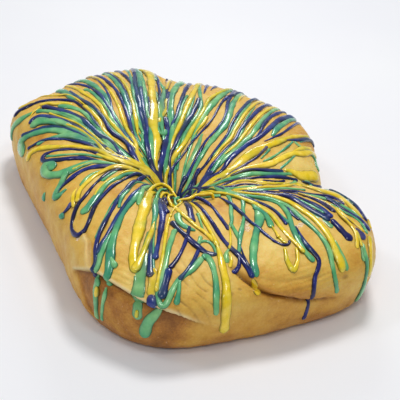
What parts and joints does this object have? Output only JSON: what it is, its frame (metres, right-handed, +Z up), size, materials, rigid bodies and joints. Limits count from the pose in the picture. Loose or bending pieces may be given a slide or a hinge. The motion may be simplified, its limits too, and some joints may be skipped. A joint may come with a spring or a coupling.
{
  "type": "king cake",
  "caption": "Oval ring of sweet yeast dough baked until its hole has closed to a pit, dressed with purple, green and gold icing; a festive cake to slice and share.",
  "frame": {"origin": "middle of the flat underside's bounding box, on the table plane", "axes": "+Z up; +Y along the cake's length, away from the end nearest the pit; +X towards the side with the deep valley"},
  "size_m": [0.2896, 0.4106, 0.0853],
  "materials": {
    "baked_dough": "satin",
    "icing_yellow": "gloss",
    "icing_green": "gloss",
    "icing_purple": "gloss"
  },
  "bodies": {
    "root": {"cake": "baked_dough"}
  },
  "joints": []
}
